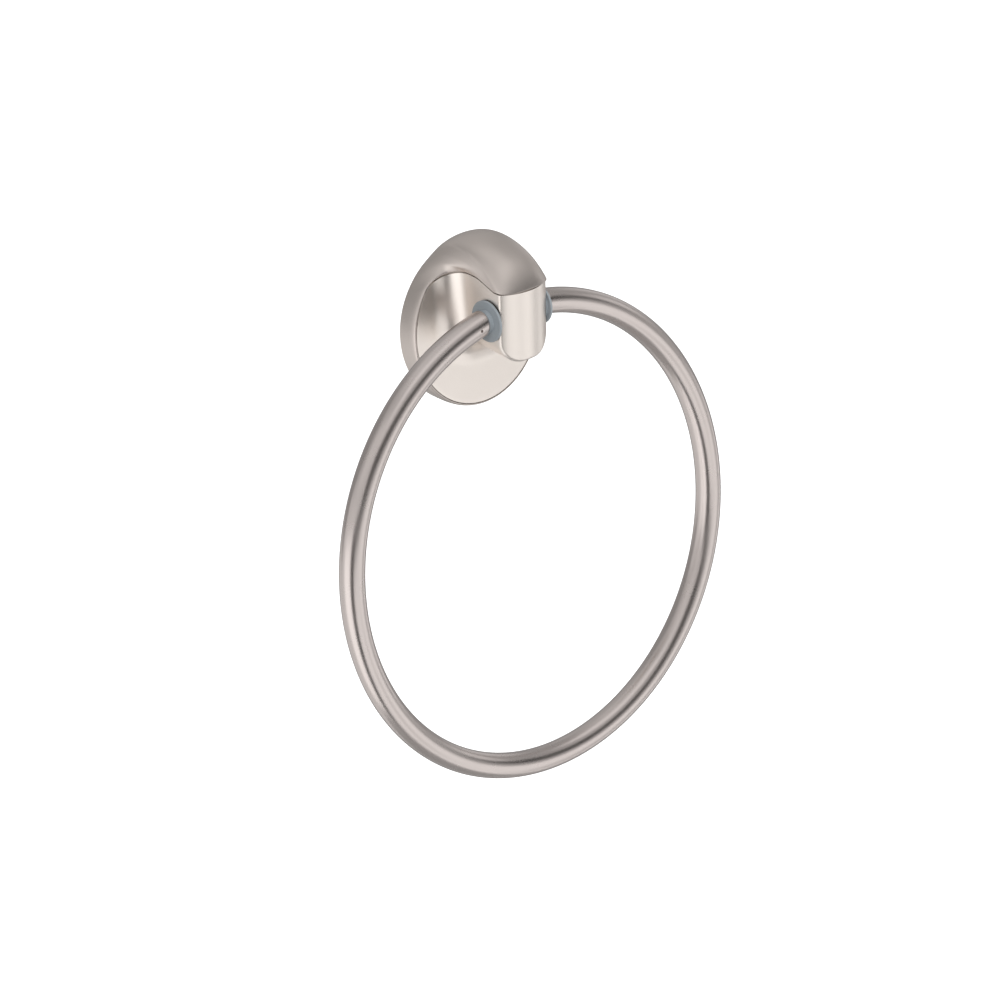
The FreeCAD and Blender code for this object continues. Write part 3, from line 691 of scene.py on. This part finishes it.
class TOWELRING_OT_ring(bpy.types.Operator):
    """Builds the swinging ring with its lock hole"""
    bl_idname = "towelring.ring"
    bl_label = "Swinging ring"

    def execute(self, context):
        sizes = sizes_of(context)
        # The drawn and brushed tube is the clearest: a dark line runs along it between two
        # pale ones, all with soft edges.
        material = satin_metal("Satin nickel, brushed tube", colours_of(context).ring,
                                0.28, 0.0012, 0.02)
        piece = piece_from("towel_ring_tube", ring_sheets(sizes), "ring",
                           material, body="swinging_ring")
        front = -sizes.pivot_depth - sizes.tube_diameter / 2
        drilled(piece, (LOCK_HOLE["side"], front, LOCK_HOLE["height"]), (0, 1, 0),
                LOCK_HOLE["radius"], LOCK_HOLE["depth"])
        return {"FINISHED"}


class TOWELRING_OT_bushes(bpy.types.Operator):
    """Builds the two flanged bushes"""
    bl_idname = "towelring.bushes"
    bl_label = "Bushes"

    def execute(self, context):
        # The nylon is matt and cool beside the metal: one even blue-grey with a faint sheen.
        material = moulded_nylon("Blue-grey moulded nylon", colours_of(context).bush)
        for name, sign in (("left_bush", -1), ("right_bush", 1)):
            piece_from(name + "_finished", [bush_sheet(sizes_of(context), sign)],
                       name, material)
        return {"FINISHED"}


class TOWELRING_OT_fasteners(bpy.types.Operator):
    """Finishes the pins, the mounting plate and the screws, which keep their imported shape"""
    bl_idname = "towelring.fasteners"
    bl_label = "Pins, plate and screws"

    def execute(self, context):
        colours = colours_of(context)
        # Turned steel is a neutral, fairly clear grey. Zinc on pressed sheet is duller and
        # bluish, with a coarser and cloudier skin.
        steel = satin_metal("Turned bright steel", colours.steel, 0.25, 0.004, 0.03, 0.25)
        zinc = satin_metal("Bright zinc plate on pressed sheet", colours.zinc, 0.35, 0.006, 0.06,
                            0.6)
        for name in ("left_pin", "right_pin", "set_screw", "cover_screws", "mounting_plate"):
            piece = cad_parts[name]
            piece.data.materials.clear()
            piece.data.materials.append(zinc if name == "mounting_plate" else steel)
        return {"FINISHED"}


def area_light(name, place, width, height, power):
    """A soft rectangular lamp that faces the object and doesn't show in its reflections."""
    data = bpy.data.lights.new(name, "AREA")
    data.shape, data.size, data.size_y = "RECTANGLE", width, height
    data.energy = power
    lamp = new_object(name, data)
    lamp.location = place
    toward = Vector((0, 0, -0.03)) - Vector(place)
    lamp.rotation_euler = toward.to_track_quat("-Z", "Y").to_euler()
    lamp.visible_glossy = False


# The cards: a name, azimuths from the front and elevations in degrees, and a brightness. A later
# card stands nearer, in front of those before it.
CARDS = (
    ("canopy", (-180, 180), (20, 90), 0.58),
    ("zenith", (-180, 180), (66, 90), 0.80),
    ("left_high", (-105, -16), (26, 54), 0.86),
    ("right_high", (45, 128), (22, 58), 0.44),
    ("top_card", (-42, 66), (46, 68), 1.10),
    ("left_top", (-125, -40), (3, 24), 0.78),
    ("left_side", (-128, -106), (-62, 5), 0.92),
    ("left_card", (-108, -56), (-62, 5), 1.50),
    ("back_left", (-180, -126), (-24, -4), 0.84),
    ("back_left_low", (-180, -126), (-60, -24), 0.84),
    ("back_left_high", (-180, -132), (-6, 46), 0.38),
    ("back_right", (88, 180), (-60, 21), 0.38),
    ("shoulder_card", (98, 120), (4, 28), 0.80),
    ("right_middle", (0, 90), (-12, 6), 0.52),
    ("low_card", (0, 85), (-62, -10), 1.24),
    ("low_gap", (8, 26), (-50, -24), 0.85),
    ("low_dip", (52, 70), (-56, -10), 0.50),
    ("near_side", (-32, 0), (-62, -8), 1.20),
    ("near_side_high", (-32, 0), (-10, 6), 0.30),
    ("camera_gap", (-58, -30), (-62, 6), 0.07),
    ("dark_gap", (-32, 62), (4, 25), 0.06),
    ("under", (-180, 180), (-90, -62), 0.42),
)


FARTHEST_CARD, CARD_STEP = 4.0, 0.05  # metres
CARD_ROWS, CARD_COLUMNS = 13, 25


def studio_card(name, azimuths, elevations, level, distance):
    """A curved card that stands round the object, where only reflections see it: a patch of a
    sphere between two azimuths from the front and two elevations, of an even brightness."""
    turn = np.radians(np.linspace(*azimuths, CARD_COLUMNS))[None]
    rise = np.radians(np.linspace(*elevations, CARD_ROWS))[:, None]
    points = np.stack(np.broadcast_arrays(
        np.sin(turn) * np.cos(rise), -np.cos(turn) * np.cos(rise), np.sin(rise)), -1) * distance
    mesh = bpy.data.meshes.new(name)
    faces = grid_faces(CARD_ROWS, CARD_COLUMNS)
    mesh.from_pydata(points.reshape(-1, 3).tolist(), [], faces.tolist())
    card = new_object(name, mesh)
    card.visible_camera = card.visible_diffuse = card.visible_shadow = False
    material = bpy.data.materials.new(name)
    material.cycles.emission_sampling = "NONE"
    material.use_nodes = True
    tree = material.node_tree
    tree.nodes.clear()
    glow = node(tree, "ShaderNodeEmission", {"Color": (1, 1, 1, 1), "Strength": level})
    node(tree, "ShaderNodeOutputMaterial", links={"Surface": glow.outputs["Emission"]})
    mesh.materials.append(material)


# The camera, from a fit to the ring's and the base's outlines: degrees, millimetres of lens, and
# metres behind, to the right of and above the drum's centre.
VIEW = {"azimuth": -39.5237, "elevation": 19.6574, "roll": -5.7324, "lens": 240.12,
        "back": 2.02315, "right": 0.011422, "up": -0.054742}


def camera():
    """The camera, turned round the drum's centre and then moved along its own three directions."""
    azimuth, elevation, roll = (math.radians(VIEW[k]) for k in ("azimuth", "elevation", "roll"))
    back = Vector((math.sin(azimuth) * math.cos(elevation),
                   -math.cos(azimuth) * math.cos(elevation), math.sin(elevation)))
    level = Vector((math.cos(azimuth), math.sin(azimuth), 0))
    upright = back.cross(level)
    right = math.cos(roll) * level + math.sin(roll) * upright
    up = math.cos(roll) * upright - math.sin(roll) * level
    data = bpy.data.cameras.new("camera")
    data.sensor_width, data.lens = 36.0, VIEW["lens"]
    data.clip_start, data.clip_end = 0.1, 20.0
    eye = new_object("camera", data)
    eye.matrix_world = Matrix((right, up, back)).transposed().to_4x4()
    eye.location = VIEW["back"] * back + VIEW["right"] * right + VIEW["up"] * up
    bpy.context.scene.camera = eye


def seen_directly(tree):
    """1 for light that ends in the camera, in a reflection or behind a clear piece, else 0."""
    path = node(tree, "ShaderNodeLightPath")
    seen = path.outputs["Is Camera Ray"]
    for kind in ("Is Glossy Ray", "Is Transmission Ray"):
        either = node(tree, "ShaderNodeMath", {"operation": "MAXIMUM"})
        tree.links.new(seen, either.inputs[0])
        tree.links.new(path.outputs[kind], either.inputs[1])
        seen = either.outputs[0]
    return seen


HALF_FLOOR, FLOOR_HEIGHT = 6.0, -0.7  # metres
# The floor's own light for the camera and in reflections. The lamps' light on top of it makes
# the floor white, and the object's shadow takes away from that part alone.
FLOOR_GLOW = 0.9


def floor_sheet(floor_colour):
    """A level square of plain pale floor under the object."""
    x, y = HALF_FLOOR * np.array([-1, 1, 1, -1]), HALF_FLOOR * np.array([-1, -1, 1, 1])
    mesh = bpy.data.meshes.new("floor")
    mesh.from_pydata(np.stack([x, y, 0 * x + FLOOR_HEIGHT], -1).tolist(), [], [(0, 1, 2, 3)])
    floor = new_object("floor", mesh)
    floor.visible_glossy = False
    material, tree, shader = new_material("Plain pale floor")
    shader.inputs["Base Color"].default_value = floor_colour
    shader.inputs["Roughness"].default_value = 0.8
    white = node(tree, "ShaderNodeMath", {"operation": "MULTIPLY"})
    tree.links.new(seen_directly(tree), white.inputs[0])
    white.inputs[1].default_value = FLOOR_GLOW
    tree.links.new(white.outputs[0], shader.inputs["Emission Strength"])
    shader.inputs["Emission Color"].default_value = (1, 1, 1, 1)
    mesh.materials.append(material)


def plain_world():
    """A world that lights the object grey and that is white where it is seen directly."""
    world = bpy.data.worlds.new("studio")
    world.use_nodes = True
    tree = world.node_tree
    tree.nodes.clear()
    plain = node(tree, "ShaderNodeBackground", {"Color": (0.5, 0.5, 0.5, 1), "Strength": 1.0})
    white = node(tree, "ShaderNodeBackground", {"Color": (1, 1, 1, 1), "Strength": 1.0})
    mix = node(tree, "ShaderNodeMixShader", {}, {"Fac": seen_directly(tree)})
    tree.links.new(plain.outputs["Background"], mix.inputs[1])
    tree.links.new(white.outputs["Background"], mix.inputs[2])
    node(tree, "ShaderNodeOutputWorld", links={"Surface": mix.outputs["Shader"]})
    return world


class TOWELRING_OT_studio(bpy.types.Operator):
    """Builds the camera, the lamps, the cards, the floor and the world"""
    bl_idname = "towelring.studio"
    bl_label = "Studio"

    def execute(self, context):
        studio = context.scene.towel_ring_studio
        scene = context.scene
        camera()
        area_light("key", (-0.9, -1.3, 1.3), 1.0, 1.0, studio.key_power)
        area_light("fill", (1.3, -0.9, 0.3), 0.8, 1.2, studio.fill_power)
        for k, card in enumerate(CARDS):
            studio_card(*card, FARTHEST_CARD - CARD_STEP * k)
        floor_sheet(studio.floor_colour)
        scene.world = plain_world()
        scene.view_settings.view_transform = "Standard"
        return {"FINISHED"}


class TOWELRING_PT_panel(bpy.types.Panel):
    """Sidebar panel with the sizes, the colours and a button for each group of pieces"""
    bl_idname = "TOWELRING_PT_panel"
    bl_label = "Towel ring"
    bl_space_type = "VIEW_3D"
    bl_region_type = "UI"
    bl_category = "Towel ring"

    def draw(self, context):
        for group in (sizes_of(context), colours_of(context), context.scene.towel_ring_studio):
            box = self.layout.box()
            for key in group.bl_rna.properties.keys():
                if key not in ("rna_type", "name"):
                    box.prop(group, key)
        for operator in OPERATORS:
            self.layout.operator(operator.bl_idname)


OPERATORS = (TOWELRING_OT_hood, TOWELRING_OT_post, TOWELRING_OT_ring, TOWELRING_OT_bushes,
             TOWELRING_OT_fasteners, TOWELRING_OT_studio)
CLASSES = (TowelRingSizes, TowelRingColours, TowelRingStudio) + OPERATORS + (TOWELRING_PT_panel,)


def register():
    """Registers the classes and hangs the settings on the scene."""
    for item in CLASSES:
        bpy.utils.register_class(item)
    bpy.types.Scene.towel_ring_sizes = PointerProperty(type=TowelRingSizes)
    bpy.types.Scene.towel_ring_colours = PointerProperty(type=TowelRingColours)
    bpy.types.Scene.towel_ring_studio = PointerProperty(type=TowelRingStudio)


def unregister():
    """Takes the settings and the classes away again."""
    del bpy.types.Scene.towel_ring_studio
    del bpy.types.Scene.towel_ring_colours
    del bpy.types.Scene.towel_ring_sizes
    for item in reversed(CLASSES):
        bpy.utils.unregister_class(item)


def main():
    """Builds everything in order."""
    register()
    bpy.ops.towelring.hood()
    bpy.ops.towelring.post()
    bpy.ops.towelring.ring()
    bpy.ops.towelring.bushes()
    bpy.ops.towelring.fasteners()
    bpy.ops.towelring.studio()


if __name__ == "__main__":
    main()
